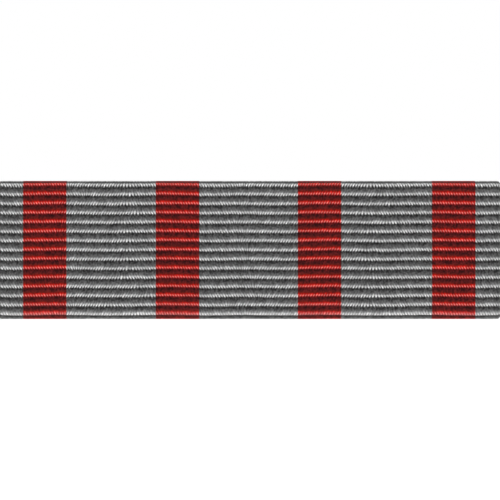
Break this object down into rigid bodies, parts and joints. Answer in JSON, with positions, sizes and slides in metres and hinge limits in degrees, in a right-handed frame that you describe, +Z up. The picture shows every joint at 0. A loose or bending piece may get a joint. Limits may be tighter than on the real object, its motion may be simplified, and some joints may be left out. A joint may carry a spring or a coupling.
{
  "type": "service ribbon bar",
  "caption": "Ribbed grey ribbon with red stripes wrapped on a brass slide, worn on a pin-backed mount rail with butterfly clutches.",
  "frame": {"origin": "centre of the mount rail's back face, which lies on the cloth", "axes": "+X along the bar, +Y out of the back towards the clutches, +Z up as worn"},
  "size_m": [0.035, 0.011, 0.0096],
  "materials": {
    "ribbon": "ribbed weave, grey with red stripes",
    "adhesive": "thin film",
    "slide_brass": "rolled, lightly tarnished",
    "nickel_plate": "nickel plate, satin",
    "steel": "drawn, bright",
    "clutch_brass": "stamped, bright"
  },
  "bodies": {
    "mount": {"mount_rail": "nickel_plate", "left_post": "steel", "right_post": "steel"},
    "ribbon_unit": {"ribbon": "ribbon", "adhesive_film": "adhesive", "ribbon_slide": "slide_brass"},
    "left_clutch": {"left_clutch_base": "clutch_brass", "left_clutch_cap": "clutch_brass", "left_spring_seat": "clutch_brass"},
    "left_inner_jaw": {"left_inner_jaw": "clutch_brass"},
    "left_outer_jaw": {"left_outer_jaw": "clutch_brass"},
    "right_clutch": {"right_clutch_base": "clutch_brass", "right_clutch_cap": "clutch_brass", "right_spring_seat": "clutch_brass"},
    "right_inner_jaw": {"right_inner_jaw": "clutch_brass"},
    "right_outer_jaw": {"right_outer_jaw": "clutch_brass"}
  },
  "joints": [
    {"name": "ribbon_slide_off", "type": "slide", "parent": "mount", "child": "ribbon_unit", "axis": [1, 0, 0], "range_m": [-0.036, 0.036]},
    {"name": "left_clutch_pull", "type": "slide", "parent": "mount", "child": "left_clutch", "axis": [0, 1, 0], "range_m": [0, 0.008]},
    {"name": "left_inner_pinch", "type": "hinge", "parent": "left_clutch", "child": "left_inner_jaw", "pos_m": [-0.00945, 0.0046, 0], "axis": [0, 0, 1], "range_deg": [0, 10], "stiffness_Nm_per_rad": 0.02},
    {"name": "left_outer_pinch", "type": "hinge", "parent": "left_clutch", "child": "left_outer_jaw", "pos_m": [-0.01055, 0.0046, 0], "axis": [0, 0, -1], "range_deg": [0, 10], "stiffness_Nm_per_rad": 0.02},
    {"name": "right_clutch_pull", "type": "slide", "parent": "mount", "child": "right_clutch", "axis": [0, 1, 0], "range_m": [0, 0.008]},
    {"name": "right_inner_pinch", "type": "hinge", "parent": "right_clutch", "child": "right_inner_jaw", "pos_m": [0.00945, 0.0046, 0], "axis": [0, 0, -1], "range_deg": [0, 10], "stiffness_Nm_per_rad": 0.02},
    {"name": "right_outer_pinch", "type": "hinge", "parent": "right_clutch", "child": "right_outer_jaw", "pos_m": [0.01055, 0.0046, 0], "axis": [0, 0, 1], "range_deg": [0, 10], "stiffness_Nm_per_rad": 0.02}
  ]
}
